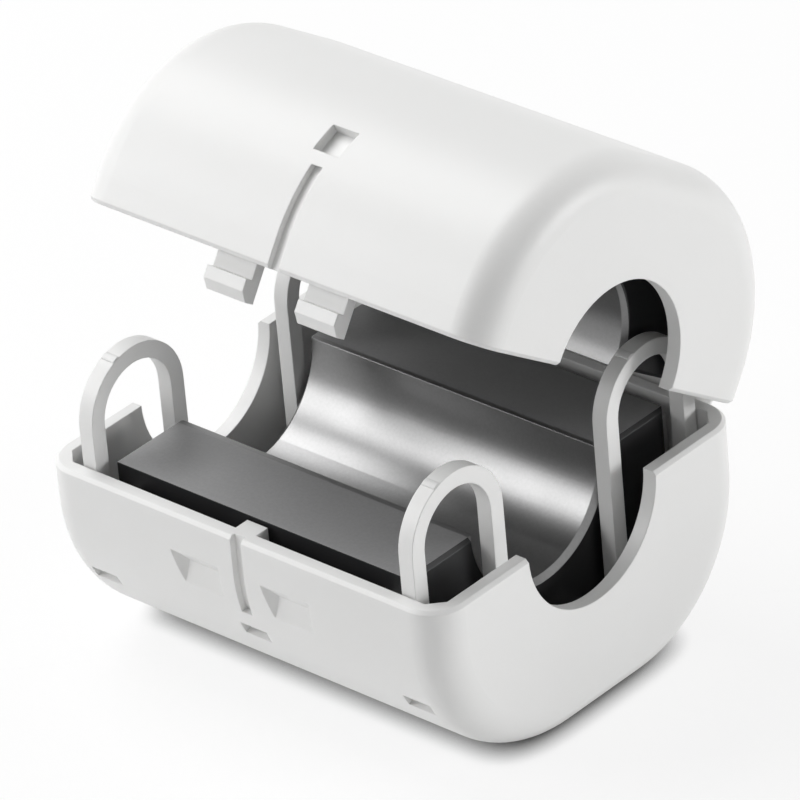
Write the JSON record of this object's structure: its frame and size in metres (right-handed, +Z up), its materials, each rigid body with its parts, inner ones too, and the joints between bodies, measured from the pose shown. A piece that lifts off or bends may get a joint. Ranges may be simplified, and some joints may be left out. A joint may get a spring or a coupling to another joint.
{
  "type": "clip-on ferrite core",
  "caption": "Hinged clip-on ferrite sleeve for a round cable: two ferrite halves in a light plastic case with arched loops, latch tongues and a film hinge, shown open.",
  "frame": {"origin": "centre of the flat bottom of the lower case half", "axes": "X along the cable opening, -Y the latch side, +Y the hinge side, Z up from the flat bottom"},
  "size_m": [0.0412, 0.0403, 0.0463],
  "materials": {
    "case": "satin moulded",
    "ferrite": "ground and pressed"
  },
  "bodies": {
    "base": {"lower_shell": "case", "lower_core": "ferrite", "film_hinge": "case"},
    "lid": {"upper_shell": "case", "upper_core": "ferrite", "latch_tongue_left": "case", "latch_tongue_right": "case"}
  },
  "joints": [
    {"name": "lid_hinge", "type": "hinge", "parent": "base", "child": "lid", "pos_m": [0, 0.0183, 0.0168], "axis": [-1, 0, 0], "range_deg": [-34.4, 100], "deforming": ["film_hinge", "latch_tongue_left", "latch_tongue_right"]}
  ]
}
